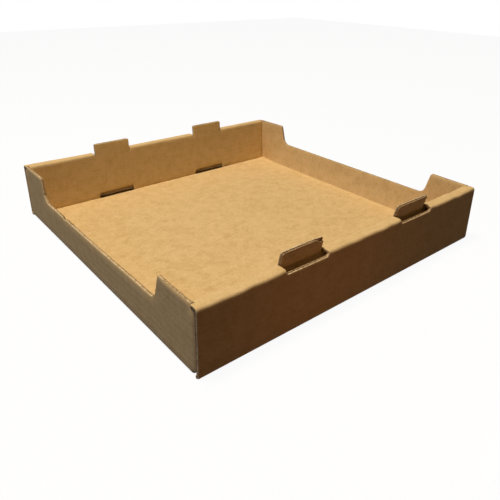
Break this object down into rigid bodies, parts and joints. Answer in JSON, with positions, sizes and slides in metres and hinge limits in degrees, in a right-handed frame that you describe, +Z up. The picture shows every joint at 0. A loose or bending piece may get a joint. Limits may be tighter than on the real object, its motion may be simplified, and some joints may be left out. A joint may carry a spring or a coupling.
{
  "type": "cardboard stacking tray",
  "caption": "Open square stacking tray folded from one sheet of brown corrugated board: low rolled-over side walls with stacking lugs, end walls with a long dip, and base slots.",
  "frame": {"origin": "middle of the underside of the base", "axes": "+Z up out of the open top, +X along the rolled-over side walls with the lugs, +Y towards the side wall that is at the back in the picture"},
  "size_m": [0.45, 0.45, 0.0916],
  "materials": {
    "kraft_board": "matte, unprinted"
  },
  "bodies": {
    "root": {"folded_tray": "kraft_board"}
  },
  "joints": []
}
